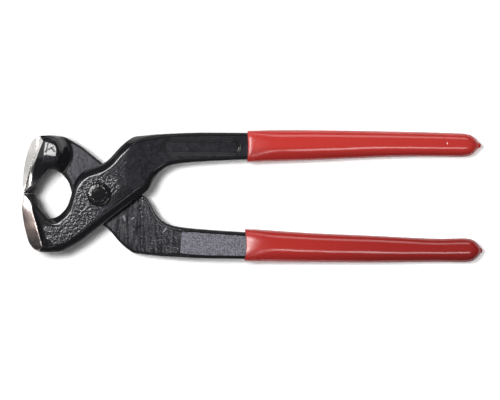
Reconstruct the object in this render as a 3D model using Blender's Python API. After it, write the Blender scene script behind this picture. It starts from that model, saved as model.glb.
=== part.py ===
"""Forged lap-joint pincers: two identical forged levers, the rivet they turn on and a dipped grip on each.

Metres, +Z up. The origin is on the rivet's axis, on the flat foot of its lower head, handles towards +X.
Sizes below are in millimetres and become metres through MM. Heights called z are from the lap plane,
where the two levers meet.
"""

import math

import bmesh
import bpy
from mathutils import Vector

MM = 0.001

# Jaw of one lever, in plan from the rivet axis
TIP_REACH = 36.1  # rivet axis to the jaw edge
TIP_LAND = 0.9  # blunt land along the edge
JAW_GAP = 0.3  # between the two closed edges
JAW_BULGE = 0.7  # front face ahead of the edge
JAW_DEPTH = 27.9  # closed edges to the back of the jaw
FACET_RUN = 6.2  # how far each ground side facet falls back from the front face
TIP_RUN = 3.5  # the same, at the edge
TIP_RISE = 4.15  # how far the side facet lifts off the closed edge at the cheek
EYE_DISTANCE = 26.3  # rivet axis to the centre of the eye
EYE_RADIUS = 12.4
CHEEK_BOW = 1.5  # how far the cheek on the lap side bows ahead of the straight one on the outer side

# Jaw across its width
JAW_HALF_WIDTH = 9.0  # cheek
TIP_HALF_WIDTH = 7.0  # cheek beside the edge
CHEEK_FLAT = 0.66  # share of the jaw's depth past which the cheek is flat
EDGE_HALF_WIDTH = 6.3  # straight part of the edge
INNER_WALL = 7.4  # half height of the upright inner face beside the eye
INNER_CURVE = 0.3  # rounding of the inner faces: 0 is a flat chamfer, 1 a quarter ellipse

# Joint
BOSS_RADIUS = 13.4
BACK_DISTANCE = 12.3  # rivet axis to the straight back of the arm
BACK_ANGLE = 38.0  # that back's slope, degrees from the X axis
JOINT_HALF = 7.0  # lap plane to a lever's outer face
LAP_GAP = 0.3  # between the two lap faces
LAP_REACH = 20.2  # rivet axis to the end of the flat lap face
JOINT_ROUND = 3.3  # width of the forged bevel round the joint
JOINT_CURVE = 0.2  # its fullness, on the same scale as the inner faces
JOINT_WALL = 4.2  # lap plane to the foot of that bevel
FLARE_DISH = 3.6  # how far the foot of the flare from lap face to cheek bows towards the rivet
OUTER_FLARE_RUN = 4.0  # short flare from the outer face to the cheek

# Bar and tang of the handle
SHOULDER_X = 16.2
SHOULDER_Y = 27.8
BAR_OUTER_Y = 30.1
BAR_INNER_Y = 15.9
BAR_HALF = 4.5
BAR_ROUND = 1.3
RAMP_END = 39.2  # where the lap face has climbed to the bar
OUTER_RAMP_START = 13.0
OUTER_RAMP_END = 30.0
GRIP_START = 69.7
GRIP_Y = 23.75  # handle centre line where the grip starts
HANDLE_RISE = 1.65  # how far that line bows outwards by the handle's end
TANG_END = 177.7
TANG_HALF_START = 6.5
TANG_HALF_END = 4.7
TANG_THICK_END = 3.4  # half thickness at the end
TANG_ROUND = 2.4
TANG_NOSE = 3.0

# Recessed panel on the outer face of the bar
PANEL_START = 30.0
PANEL_END = 66.8
PANEL_HEIGHT = 7.0
PANEL_DEPTH = 0.5
PANEL_CORNER = 2.6

# Grip
GRIP_GAP = 0.25
GRIP_WALL = 0.8
GRIP_NOSE = 3.4  # how far the rounded end reaches past the tang
GRIP_DOME = 9.0  # length of that rounded end
NUB_RADIUS = 1.3  # drip left on the end by the dipping
NUB_LENGTH = 1.7

# Rivet
SHANK_RADIUS = 4.0
RUNNING_CLEARANCE = 0.15
HEAD_RADIUS = 5.7
HEAD_FLAT_RADIUS = 3.7
HEAD_RIM = 0.7
SEAT_GAP = 0.3

# Mesh density
EDGE_STEPS = 5
FACE_POINTS = 7
ROUND_STEPS = 48
HANDLE_STEPS = 12

PAINT = (0.020, 0.020, 0.023, 1.0)
VINYL = (0.560, 0.022, 0.020, 1.0)


def lerp(a, b, share):
    return a + (b - a) * share


def clamp01(value):
    return min(1.0, max(0.0, value))


def ease(value):
    """0 to 1 with flat ends, for a filleted step."""
    share = clamp01(value)
    return share * share * (3 - 2 * share)


def polar(radius, degrees, centre_x=0.0):
    angle = math.radians(degrees)
    return Vector((centre_x + radius * math.cos(angle), radius * math.sin(angle)))


def back_point(along):
    """A point on the straight back of the arm, counted along it from the spot nearest the rivet."""
    angle = math.radians(BACK_ANGLE)
    direction = Vector((math.cos(angle), math.sin(angle)))
    return Vector((direction.y, -direction.x)) * BACK_DISTANCE + direction * along


# Handle, by distance from the rivet


def handle_share(x):
    return (x - GRIP_START) / (TANG_END - GRIP_START)


def handle_y(x):
    return GRIP_Y + HANDLE_RISE * (1 - (1 - handle_share(x)) ** 2)


def tang_half_width(x):
    return lerp(TANG_HALF_START, TANG_HALF_END, handle_share(x))


def tang_half_thickness(x):
    return lerp(BAR_HALF, TANG_THICK_END, handle_share(x))


# Plan of the lever. Each station pairs a point on its eye side with one on its back, from grip to jaw edge.

NEAR_TIP = Vector((-TIP_REACH + TIP_RUN, -JAW_GAP / 2 - TIP_RISE))
CHEEK_CORNER = Vector((-TIP_REACH - JAW_BULGE + FACET_RUN + 4.3, -JAW_DEPTH + 2.9))
EYE_CORNER = polar(EYE_RADIUS * 0.97, -79, -EYE_DISTANCE)
CHEEK_EYE = EYE_CORNER + Vector((-0.4, -1.2))


def cheek_front(share, bow=0.0):
    """Along the line where cheek and ground facet meet, from the back of the jaw to its edge."""
    return CHEEK_CORNER.lerp(NEAR_TIP, share) - Vector((bow * 4 * share * (1 - share), 0))


def cheek_inner(share):
    """Along the cheek's edge on the eye side, from the bottom of the eye to the jaw's edge."""
    return CHEEK_EYE.lerp(NEAR_TIP + Vector((0.35, 0.0)), share)


def station(
    eye,
    back,
    rounding=(JOINT_ROUND, 0.3),
    walls=(JOINT_WALL, 0.45),
    eye_walls=None,
    curves=(JOINT_CURVE, JOINT_CURVE),
    flares=(0.0, 0.0),
    bow=0.0,
    cheeks=None,
):
    """One cross-section.

    rounding insets the outer and the lap face. walls are the heights of the upright between them, and
    eye_walls the same where the eye side has its own. curves are the fullness of the rounding on the eye
    side and on the back. flares say how far the outer and the lap face have spread to the cheeks. bow
    pushes the middle of the lap face towards the handle.
    """
    across = (back - eye).normalized()
    outer = (eye + across * rounding[0], back - across * rounding[0])
    lap = (eye + across * rounding[1], back - across * rounding[1])
    if cheeks:
        outer = outer if flares[0] == 0 else cheeks[0]
        lap = cheeks[1]
    return {
        "eye": eye,
        "back": back,
        "outer": outer,
        "lap": lap,
        "numbers": (*(eye_walls or walls), *walls, *curves, *flares, bow),
    }


def bar_stations():
    bar = {"rounding": (BAR_ROUND, BAR_ROUND), "walls": (2.8, -2.8), "curves": (1.0, 1.0)}
    start = Vector((GRIP_START, GRIP_Y))
    half = Vector((0, TANG_HALF_START))
    middle_x = lerp(RAMP_END, GRIP_START, 0.25)
    return [
        station(start + half, start - half, **bar),
        station(Vector((middle_x, BAR_OUTER_Y)), Vector((middle_x, BAR_INNER_Y)), **bar),
        station(
            Vector((SHOULDER_X + 14, lerp(SHOULDER_Y, BAR_OUTER_Y, 0.65))),
            Vector((LAP_REACH + 14.6, BAR_INNER_Y - 1.5)),
            rounding=(1.7, BAR_ROUND),
            walls=(2.6, -1.8),
            curves=(0.85, 0.85),
        ),
        station(
            Vector((SHOULDER_X + 5.5, lerp(SHOULDER_Y, BAR_OUTER_Y, 0.3))),
            Vector((LAP_REACH + 9.3, BAR_INNER_Y - 4.2)),
            rounding=(2.2, 0.9),
            walls=(2.4, -0.6),
            curves=(0.7, 0.7),
        ),
        station(
            Vector((SHOULDER_X, SHOULDER_Y)),
            Vector((LAP_REACH + 6.2, BAR_INNER_Y - 7.7)),
            rounding=(2.6, 0.6),
            walls=(2.2, 0.0),
        ),
    ]


def joint_stations():
    neck = Vector((SHOULDER_X - 3.8, SHOULDER_Y - 2.5))
    boss_top = polar(BOSS_RADIUS + 0.7, 89)
    return [
        station(neck, back_point(19.6)),
        station(neck.lerp(boss_top, 0.29), back_point(14.6)),
        station(neck.lerp(boss_top, 0.66) + Vector((0.4, -0.6)), back_point(8.8)),
        station(boss_top, back_point(2.2)),
        station(polar(BOSS_RADIUS, 126), back_point(-4.4)),
        station(polar(BOSS_RADIUS, 154), back_point(-10.2)),
        station(polar(BOSS_RADIUS, 179), back_point(-15.6)),
        station(polar(EYE_RADIUS, -27, -EYE_DISTANCE), back_point(-20.6)),
    ]


def jaw_stations():
    tip_y = -JAW_GAP / 2
    tip_eye = Vector((-TIP_REACH + TIP_LAND, tip_y))
    tip_front = Vector((-TIP_REACH, tip_y))
    front_x = -TIP_REACH - JAW_BULGE
    edge = (EDGE_HALF_WIDTH, -EDGE_HALF_WIDTH)
    # Share along the inner face, then the front face's place, then shares along the cheek's two edges.
    plan = [
        (0.14, Vector((front_x + 7.4, -JAW_DEPTH + 0.6)), 0.16, 0.0),
        (0.26, Vector((front_x + 3.9, -JAW_DEPTH + 3.8)), 0.32, 0.14),
        (0.42, Vector((front_x + 1.9, -JAW_DEPTH * 0.66)), 0.5, 0.36),
        (0.61, Vector((front_x + 0.6, -JAW_DEPTH * 0.43)), 0.68, 0.6),
        (0.81, Vector((front_x, -JAW_DEPTH * 0.21)), 0.85, 0.82),
        (1.0, tip_front, 1.0, 1.0),
    ]
    root = [
        station(
            polar(EYE_RADIUS, -50, -EYE_DISTANCE),
            Vector((front_x + 20.4, -JAW_DEPTH + 0.9)),
            rounding=(3.1, 0.5),
            bow=FLARE_DISH,
        ),
        station(
            polar(EYE_RADIUS, -64, -EYE_DISTANCE),
            Vector((front_x + 16.4, -JAW_DEPTH + 0.15)),
            rounding=(3.0, 0.5),
            walls=(4.6, -2.6),
            flares=(0.0, 1.0),
            bow=FLARE_DISH * 0.6,
            cheeks=[(CHEEK_EYE + Vector((2.8, 0.3)), Vector((front_x + 15.2, -JAW_DEPTH + 2.5)))] * 2,
        ),
        station(
            EYE_CORNER,
            Vector((front_x + 12.4, -JAW_DEPTH)),
            walls=edge,
            eye_walls=(INNER_WALL, -INNER_WALL),
            curves=(INNER_CURVE, 0.6),
            flares=(0.4, 1.0),
            bow=FLARE_DISH * 0.25,
            cheeks=[(CHEEK_EYE, Vector((front_x + 13.4, -JAW_DEPTH + 2.7)))] * 2,
        ),
    ]
    inner_walls = [lerp(INNER_WALL, EDGE_HALF_WIDTH, row[0] ** 2) for row in plan]
    blade = [
        station(
            EYE_CORNER.lerp(tip_eye, inner),
            front,
            walls=edge,
            eye_walls=(wall, -wall),
            curves=(INNER_CURVE, 0.25 if inner < 0.2 else 0.0),
            flares=(1.0, 1.0),
            cheeks=[(cheek_inner(cheek_eye), cheek_front(cheek_face, bow)) for bow in (0.0, CHEEK_BOW)],
        )
        for (inner, front, cheek_eye, cheek_face), wall in zip(plan, inner_walls)
    ]
    return root + blade


def catmull_rom(points, position):
    """A point on the smooth curve through the given points. position counts points from 0."""
    index = min(int(position), len(points) - 2)
    share = position - index
    before = points[max(index - 1, 0)]
    here, there = points[index], points[index + 1]
    after = points[min(index + 2, len(points) - 1)]
    leave = (there - before) * 0.5
    arrive = (after - here) * 0.5
    cube, square = share**3, share**2
    return (
        here * (2 * cube - 3 * square + 1)
        + leave * (cube - 2 * square + share)
        + there * (3 * square - 2 * cube)
        + arrive * (cube - square)
    )


def between(stations, position):
    """The cross-section at a position along the lever, counted in stations."""
    index = min(int(position), len(stations) - 2)
    share = position - index
    here, there = stations[index], stations[index + 1]

    def smooth(pick):
        return catmull_rom([pick(s) for s in stations], position)

    return {
        "eye": smooth(lambda s: s["eye"]),
        "back": smooth(lambda s: s["back"]),
        "outer": tuple(smooth(lambda s, side=side: s["outer"][side]) for side in (0, 1)),
        "lap": tuple(smooth(lambda s, side=side: s["lap"][side]) for side in (0, 1)),
        "numbers": tuple(lerp(a, b, share) for a, b in zip(here["numbers"], there["numbers"])),
    }


# Heights of the lever's two faces above the lap plane


def cheek_height(y):
    """Half the jaw's width: full over its back half, narrowing towards the edge."""
    share = (abs(y) - TIP_RISE) / (JAW_DEPTH * CHEEK_FLAT - TIP_RISE)
    return lerp(TIP_HALF_WIDTH, JAW_HALF_WIDTH, ease(share))


def outer_height(point):
    ramp = (point.x - OUTER_RAMP_START) / (OUTER_RAMP_END - OUTER_RAMP_START)
    beside_edge = cheek_height(point.y) if point.x < EYE_CORNER.x else JAW_HALF_WIDTH
    return min(lerp(JOINT_HALF, BAR_HALF, ease(ramp)), beside_edge)


def lap_height(point):
    ramp = (point.x - LAP_REACH) / (RAMP_END - LAP_REACH)
    return lerp(LAP_GAP / 2, -BAR_HALF, clamp01(ramp))


# Rings of points round the lever and the grips


def corner_points(face, face_z, wall, wall_z, curve):
    """From a face round its edge to the upright wall. curve 1 is a quarter ellipse, 0 a flat chamfer."""
    points = []
    for step in range(EDGE_STEPS + 1):
        share = step / EDGE_STEPS
        turn = share * math.pi / 2
        flat = face.lerp(wall, lerp(share, math.sin(turn), curve))
        height = lerp(face_z, wall_z, lerp(share, 1 - math.cos(turn), curve))
        points.append(Vector((flat.x, flat.y, height)))
    return points


def face_points(first, last, height, shares=None):
    shares = shares or [n / (FACE_POINTS + 1) for n in range(1, FACE_POINTS + 1)]
    flats = [first.lerp(last, share) for share in shares]
    return [Vector((flat.x, flat.y, height(flat))) for flat in flats]


def lever_ring(section):
    """One closed ring of points: up the eye side, over the outer face, down the back, along the lap."""
    *numbers, outer_flare, lap_flare, bow = section["numbers"]
    walls, curves = (numbers[0:2], numbers[2:4]), numbers[4:6]

    def lap_flared(flat):
        return lerp(lap_height(flat), -cheek_height(flat.y), ease(lap_flare))

    sides = []
    for side, name in enumerate(("eye", "back")):
        outer, lap, wall = section["outer"][side], section["lap"][side], section[name]
        top, bottom = outer_height(outer), lap_flared(lap)
        if name == "back":
            top = lerp(top, cheek_height(outer.y), outer_flare)
        wall_top, wall_bottom = walls[side]
        lower = corner_points(lap, bottom, wall, max(wall_bottom, bottom + 0.25), curves[side])
        upper = corner_points(outer, top, wall, min(wall_top, top - 0.3), curves[side])
        sides.append(lower + upper[::-1])
    # The short outer flare fills the last stretch before the back.
    stretch = OUTER_FLARE_RUN / (section["outer"][1] - section["outer"][0]).length
    last = lerp(FACE_POINTS / (FACE_POINTS + 1), max(1 - stretch, 0.5), clamp01(outer_flare * 2))
    shares = [last * n / FACE_POINTS for n in range(1, FACE_POINTS + 1)]
    over = face_points(*section["outer"], outer_height, shares)
    under = face_points(section["lap"][1], section["lap"][0], lap_flared)
    for n, point in enumerate(under, 1):
        share = n / (FACE_POINTS + 1)
        point.x += bow * 4 * share * (1 - share)
    return sides[0] + over + sides[1][::-1] + under


def handle_ring(x, grow, shrink=1.0, at=None):
    """A ring round the tang at x, grown outwards. shrink draws it in and at moves it, for a rounded end."""
    middle = Vector((0, handle_y(x), 0))
    half_width = (tang_half_width(x) + grow) * shrink
    half_thick = (tang_half_thickness(x) + grow) * shrink
    edge_round = lerp(BAR_ROUND, TANG_ROUND, clamp01(handle_share(x) * 4))
    rounding = min((edge_round + grow) * shrink, half_width * 0.8)
    wall = min(half_thick - rounding, 0.58 * half_thick)
    eye, back = Vector((0, half_width)), Vector((0, -half_width))
    outer = (Vector((0, half_width - rounding)), Vector((0, rounding - half_width)))
    sides = []
    for face, side in zip(outer, (eye, back)):
        lower = corner_points(face, -half_thick, side, -wall, 1.0)
        upper = corner_points(face, half_thick, side, wall, 1.0)
        sides.append(lower + upper[::-1])
    over = face_points(*outer, lambda flat: half_thick)
    under = face_points(outer[1], outer[0], lambda flat: -half_thick)
    middle.x = x if at is None else at
    return [middle + point for point in sides[0] + over + sides[1][::-1] + under]


def nose_rings(x, length, grow, steps, last_degrees=90.0):
    """Rings that close over a rounded end of the given length past x."""
    turns = [math.radians(last_degrees) * n / steps for n in range(1, steps + 1)]
    return [handle_ring(x, grow, math.cos(turn), x + length * math.sin(turn)) for turn in turns]


def ladder_faces(ring):
    """Quads that close a ring by joining its eye side to its back, row by row."""
    rows = 2 * (EDGE_STEPS + 1)
    eye = ring[:rows]
    back = ring[rows + FACE_POINTS : 2 * rows + FACE_POINTS][::-1]
    faces = [(eye[n], eye[n + 1], back[n + 1], back[n]) for n in range(1, rows - 2)]
    faces.append([eye[-2], eye[-1], *ring[rows : rows + FACE_POINTS], back[-1], back[-2]])
    faces.append([back[1], back[0], *ring[2 * rows + FACE_POINTS :], eye[0], eye[1]])
    return faces


def tube_mesh(name, rings):
    """A closed skin over a row of rings with equal counts, with both ends closed."""
    shape = bmesh.new()
    rows = [[shape.verts.new(point * MM) for point in ring] for ring in rings]
    count = len(rows[0])
    for first, second in zip(rows, rows[1:]):
        for n in range(count):
            shape.faces.new((first[n], first[(n + 1) % count], second[(n + 1) % count], second[n]))
    for end in (rows[0], rows[-1]):
        for face in ladder_faces(end):
            shape.faces.new(face)
    bmesh.ops.recalc_face_normals(shape, faces=shape.faces)
    mesh = bpy.data.meshes.new(name)
    shape.to_mesh(mesh)
    shape.free()
    return mesh


# Objects


def make_material(name, colour, roughness, metallic):
    material = bpy.data.materials.new(name)
    material.use_nodes = True
    shader = material.node_tree.nodes["Principled BSDF"]
    shader.inputs["Base Color"].default_value = colour
    shader.inputs["Roughness"].default_value = roughness
    shader.inputs["Metallic"].default_value = metallic
    return material


def place(name, mesh, parent, material=None):
    if material:
        mesh.materials.append(material)
        mesh.shade_smooth()
        mesh.set_sharp_from_angle(angle=math.radians(30))
    obj = bpy.data.objects.new(name, mesh)
    bpy.context.scene.collection.objects.link(obj)
    obj.parent = parent
    return obj


def place_cutter(name, mesh, lever):
    """A helper that follows the lever and is cut out of it."""
    cutter = place(name, mesh, lever)
    cutter.hide_render = True
    cutter.display_type = "WIRE"
    cut = lever.modifiers.new(name, "BOOLEAN")
    cut.operation = "DIFFERENCE"
    cut.object = cutter


def lever_mesh():
    stations = bar_stations() + joint_stations() + jaw_stations()
    steps = [4, 3, 3, 3] + [3] * 4 + [4] * 5 + [5] * 7 + [4]
    positions = [index + n / count for index, count in enumerate(steps) for n in range(count)]
    positions.append(len(stations) - 1)
    body = [lever_ring(between(stations, position)) for position in positions]
    tang_x = [lerp(TANG_END - TANG_NOSE, GRIP_START, n / HANDLE_STEPS) for n in range(HANDLE_STEPS)]
    tang = [handle_ring(x, 0.0) for x in tang_x]
    nose = nose_rings(TANG_END - TANG_NOSE, TANG_NOSE, 0.0, 3, 62.0)
    return tube_mesh("lever", nose[::-1] + tang + body)


def grip_mesh():
    """A dipped sleeve: one skin from the drip along the outside to the lip, then down the bore."""
    outside = GRIP_GAP + GRIP_WALL
    nose_x = TANG_END - TANG_NOSE
    dome_end = TANG_END + GRIP_NOSE
    dome_x = dome_end - GRIP_DOME
    steps = range(HANDLE_STEPS + 1)
    rings = [handle_ring(lerp(GRIP_START, dome_x, n / HANDLE_STEPS), outside) for n in steps]
    rings += nose_rings(dome_x, GRIP_DOME, outside, 6, 76.0)
    nub_shrink = NUB_RADIUS / (tang_half_width(dome_x) + outside)
    for share in (0.35, 0.75, 1.0):
        shrink = nub_shrink * math.sqrt(max(1 - share**2, 0.06))
        rings.append(handle_ring(dome_x, outside, shrink, lerp(dome_end, dome_end + NUB_LENGTH, share)))
    bore = [handle_ring(lerp(GRIP_START, nose_x, n / HANDLE_STEPS), GRIP_GAP) for n in steps]
    bore += nose_rings(nose_x, TANG_NOSE + GRIP_GAP, GRIP_GAP, 3, 62.0)
    return tube_mesh("grip", rings[::-1] + bore)


def turned_mesh(name, profile):
    """A solid of revolution about Z from (radius, z) points that start and end on the axis."""
    shape = bmesh.new()
    verts = [shape.verts.new((radius * MM, 0, z * MM)) for radius, z in profile]
    edges = [shape.edges.new(pair) for pair in zip(verts, verts[1:])]
    bmesh.ops.spin(
        shape,
        geom=verts + edges,
        cent=(0, 0, 0),
        axis=(0, 0, 1),
        angle=math.tau,
        steps=ROUND_STEPS,
        use_merge=True,
    )
    bmesh.ops.remove_doubles(shape, verts=shape.verts, dist=1e-6)
    bmesh.ops.recalc_face_normals(shape, faces=shape.faces)
    mesh = bpy.data.meshes.new(name)
    shape.to_mesh(mesh)
    shape.free()
    return mesh


def rivet_mesh():
    """Shank with a flat-topped dome on each side, whose flats are level with the jaw cheeks."""
    seat = JOINT_HALF + SEAT_GAP
    rim = seat + HEAD_RIM
    half = [(0.0, JAW_HALF_WIDTH), (HEAD_FLAT_RADIUS, JAW_HALF_WIDTH)]
    for share in (0.4, 0.75, 1.0):
        turn = share * math.pi / 2
        radius = lerp(HEAD_FLAT_RADIUS, HEAD_RADIUS, math.sin(turn))
        half.append((radius, lerp(JAW_HALF_WIDTH, rim, 1 - math.cos(turn))))
    half += [(HEAD_RADIUS, seat), (SHANK_RADIUS, seat)]
    return turned_mesh("rivet", half + [(radius, -z) for radius, z in half[::-1]])


def hole_mesh():
    radius, reach = SHANK_RADIUS + RUNNING_CLEARANCE, JAW_HALF_WIDTH + 5
    return turned_mesh("hole", [(0, reach), (radius, reach), (radius, -reach), (0, -reach)])


def panel_mesh():
    """A round-cornered block that sinks the panel into the outer face of the bar."""
    centre_y = (BAR_OUTER_Y + BAR_INNER_Y) / 2 + 0.2
    half_length, half_height = (PANEL_END - PANEL_START) / 2, PANEL_HEIGHT / 2
    shape = bmesh.new()
    bmesh.ops.create_cube(shape, size=2 * MM)
    bmesh.ops.scale(shape, vec=(half_length, half_height, 2.0), verts=shape.verts)
    centre = Vector(((PANEL_START + PANEL_END) / 2, centre_y, BAR_HALF - PANEL_DEPTH + 2.0))
    bmesh.ops.translate(shape, vec=centre * MM, verts=shape.verts)
    upright = [edge for edge in shape.edges if abs(edge.verts[0].co.z - edge.verts[1].co.z) > MM]
    bmesh.ops.bevel(shape, geom=upright, offset=PANEL_CORNER * MM, segments=5, profile=0.5, affect="EDGES")
    mesh = bpy.data.meshes.new("panel")
    shape.to_mesh(mesh)
    shape.free()
    return mesh


def build():
    for obj in list(bpy.data.objects):
        bpy.data.objects.remove(obj)
    paint = make_material("black_paint", PAINT, 0.42, 0.0)
    blued = make_material("blued_steel", PAINT, 0.38, 0.0)
    vinyl = make_material("red_vinyl", VINYL, 0.22, 0.0)

    pivot = bpy.data.objects.new("pivot", None)
    pivot.location.z = JAW_HALF_WIDTH * MM
    bpy.context.scene.collection.objects.link(pivot)

    forging, sleeve, hole, panel = lever_mesh(), grip_mesh(), hole_mesh(), panel_mesh()
    forging.materials.append(paint)
    # The second lever is the same forging turned over about the X axis.
    for name, turned_over in (("front", 0.0), ("back", math.pi)):
        half = bpy.data.objects.new(name + "_half", None)
        bpy.context.scene.collection.objects.link(half)
        half.parent = pivot
        half.rotation_euler.x = turned_over
        lever = place(name + "_lever", forging, half)
        place_cutter(name + "_rivet_hole", hole, lever)
        place_cutter(name + "_panel", panel, lever)
        place(name + "_grip", sleeve, half)
    sleeve.materials.append(vinyl)
    for mesh in (forging, sleeve):
        mesh.shade_smooth()
        mesh.set_sharp_from_angle(angle=math.radians(30))
    place("pivot_rivet", rivet_mesh(), pivot, blued)


build()
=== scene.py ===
import math

import bmesh
import bpy
import numpy as np
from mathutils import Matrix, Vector


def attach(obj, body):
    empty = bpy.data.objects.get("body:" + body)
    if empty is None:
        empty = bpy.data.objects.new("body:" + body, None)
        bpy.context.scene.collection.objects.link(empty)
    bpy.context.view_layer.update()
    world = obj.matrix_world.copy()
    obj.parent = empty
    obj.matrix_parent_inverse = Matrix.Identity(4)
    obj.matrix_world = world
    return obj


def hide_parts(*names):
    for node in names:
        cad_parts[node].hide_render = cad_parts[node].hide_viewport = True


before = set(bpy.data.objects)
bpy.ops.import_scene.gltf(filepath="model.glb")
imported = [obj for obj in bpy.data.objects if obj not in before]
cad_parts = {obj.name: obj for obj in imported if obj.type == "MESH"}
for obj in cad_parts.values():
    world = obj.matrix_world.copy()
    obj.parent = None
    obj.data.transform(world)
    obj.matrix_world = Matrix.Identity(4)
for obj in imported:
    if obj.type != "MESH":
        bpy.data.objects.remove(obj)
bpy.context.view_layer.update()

mm = 0.001
midHeight = 9.0 * mm  # the plane where the two levers lap


def only(piece):
    bpy.ops.object.select_all(action="DESELECT")
    piece.select_set(True)
    bpy.context.view_layer.objects.active = piece


def editing(piece):
    only(piece)
    bpy.ops.object.mode_set(mode="EDIT")
    bpy.ops.mesh.select_mode(type="VERT")


def doneEditing():
    bpy.ops.object.mode_set(mode="OBJECT")


def applyModifier(piece, kind, **settings):
    modifier = piece.modifiers.new(kind.lower(), kind)
    for name, value in settings.items():
        setattr(modifier, name, value)
    only(piece)
    bpy.ops.object.modifier_apply(modifier=modifier.name)


def smoothStep(low, high, value):
    share = np.clip((value - low) / (high - low), 0.0, 1.0)
    return share * share * (3 - 2 * share)


def readPoints(mesh, what="co"):
    values = np.zeros(len(mesh.vertices) * 3, np.float32)
    source = mesh.vertices if what == "co" else mesh.vertex_normals
    source.foreach_get("co" if what == "co" else "vector", values)
    return values.reshape(-1, 3).astype(float)


def writeMask(mesh, name, red, green, blue):
    colours = np.ones((len(mesh.vertices), 4), np.float32)
    for column, mask in enumerate((red, green, blue)):
        colours[:, column] = mask
    attribute = mesh.attributes.new(name, "FLOAT_COLOR", "POINT")
    attribute.data.foreach_set("color", colours.ravel())


# Shader helpers

def newMaterial(name):
    material = bpy.data.materials.new(name)
    material.use_nodes = True
    tree = material.node_tree
    return material, tree, tree.nodes["Principled BSDF"]


def addNode(tree, kind, x, y, settings=None, **sockets):
    node = tree.nodes.new("ShaderNode" + kind)
    node.location = (x, y)
    for name, value in (settings or {}).items():
        setattr(node, name, value)
    for name, value in sockets.items():
        node.inputs[name].default_value = value
    return node


def feed(tree, socket, value):
    # a plain value is set on the socket, and an output is linked to it
    if isinstance(value, (int, float, tuple)):
        socket.default_value = value
    else:
        tree.links.new(value, socket)


def mathNode(tree, operation, x, y, first, second=None):
    node = addNode(tree, "Math", x, y, {"operation": operation})
    feed(tree, node.inputs[0], first)
    if second is not None:
        feed(tree, node.inputs[1], second)
    return node.outputs[0]


def mixValue(tree, x, y, share, first, second):
    node = addNode(tree, "Mix", x, y, {"data_type": "FLOAT"})
    for index, value in ((0, share), (2, first), (3, second)):
        feed(tree, node.inputs[index], value)
    return node.outputs[0]


def mixColour(tree, x, y, share, first, second):
    node = addNode(tree, "Mix", x, y, {"data_type": "RGBA"})
    for index, value in ((0, share), (6, first), (7, second)):
        feed(tree, node.inputs[index], value)
    return node.outputs[2]


def rampNode(tree, x, y, value, low, high):
    node = addNode(tree, "MapRange", x, y, {"interpolation_type": "SMOOTHSTEP"})
    node.inputs["From Min"].default_value = low
    node.inputs["From Max"].default_value = high
    tree.links.new(value, node.inputs["Value"])
    return node.outputs["Result"]


def newGroup(name, inputs, outputs):
    group = bpy.data.node_groups.new(name, "ShaderNodeTree")
    for socket, kind, value in inputs:
        made = group.interface.new_socket(socket, in_out="INPUT", socket_type="NodeSocket" + kind)
        if value is not None:
            made.default_value = value
    for socket, kind in outputs:
        group.interface.new_socket(socket, in_out="OUTPUT", socket_type="NodeSocket" + kind)
    enter = group.nodes.new("NodeGroupInput")
    enter.location = (-800, 0)
    leave = group.nodes.new("NodeGroupOutput")
    leave.location = (800, 0)
    return group, enter.outputs, leave.inputs


def useGroup(tree, group, x, y, **sockets):
    node = tree.nodes.new("ShaderNodeGroup")
    node.node_tree = group
    node.location = (x, y)
    for name, value in sockets.items():
        node.inputs[name].default_value = value
    return node


def noiseOutput(tree, x, y, vector, scale, detail, roughness=0.5):
    node = addNode(tree, "TexNoise", x, y, Detail=detail, Roughness=roughness)
    tree.links.new(vector, node.inputs["Vector"])
    feed(tree, node.inputs["Scale"], scale)
    return node.outputs["Fac"]


# Grain of paint over forged steel: lumps about a millimetre across, with bright flecks on their crowns, which
# are painted sparkle
forgedGrain, grainIn, grainOut = newGroup(
    "forgedGrain",
    [("Vector", "Vector", None), ("Scale", "Float", 900.0), ("Fleck Level", "Float", 0.62)],
    [("Height", "Float"), ("Fleck", "Float"), ("Mottle", "Float")],
)
lumps = noiseOutput(forgedGrain, -500, 200, grainIn["Vector"], grainIn["Scale"], 2.0, 0.55)
fineScale = mathNode(forgedGrain, "MULTIPLY", -650, -100, grainIn["Scale"], 2.3)
fine = noiseOutput(forgedGrain, -500, -100, grainIn["Vector"], fineScale, 1.0)
broadScale = mathNode(forgedGrain, "MULTIPLY", -650, -350, grainIn["Scale"], 0.16)
broad = noiseOutput(forgedGrain, -500, -350, grainIn["Vector"], broadScale, 2.0)
height = mixValue(forgedGrain, -250, 100, 0.3, lumps, fine)
forgedGrain.links.new(height, grainOut["Height"])
fleckTop = mathNode(forgedGrain, "ADD", -250, -150, grainIn["Fleck Level"], 0.09)
fleckRange = addNode(forgedGrain, "MapRange", 0, -100, {"interpolation_type": "SMOOTHSTEP"})
forgedGrain.links.new(height, fleckRange.inputs["Value"])
forgedGrain.links.new(grainIn["Fleck Level"], fleckRange.inputs["From Min"])
forgedGrain.links.new(fleckTop, fleckRange.inputs["From Max"])
forgedGrain.links.new(fleckRange.outputs["Result"], grainOut["Fleck"])
forgedGrain.links.new(broad, grainOut["Mottle"])

# Paint rubbed thin along edges and round the rivet, broken up so that it never forms a clean line
rubbedThrough, rubIn, rubOut = newGroup(
    "rubbedThrough",
    [("Vector", "Vector", None), ("Edge", "Float", 0.0), ("Scale", "Float", 1400.0), ("Amount", "Float", 0.5)],
    [("Mask", "Float")],
)
breakUp = noiseOutput(rubbedThrough, -500, 0, rubIn["Vector"], rubIn["Scale"], 3.0, 0.65)
offset = mathNode(rubbedThrough, "SUBTRACT", -300, -150, breakUp, 0.5)
pushed = mathNode(rubbedThrough, "MULTIPLY", -150, -150, offset, 1.6)
edgeAndBreak = mathNode(rubbedThrough, "ADD", 0, 0, rubIn["Edge"], pushed)
rubMask = rampNode(rubbedThrough, 200, 0, edgeAndBreak, 0.62, 1.0)
rubScaled = mathNode(rubbedThrough, "MULTIPLY", 400, 0, rubMask, rubIn["Amount"])
rubbedThrough.links.new(rubScaled, rubOut["Mask"])
print("node groups ready")
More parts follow.
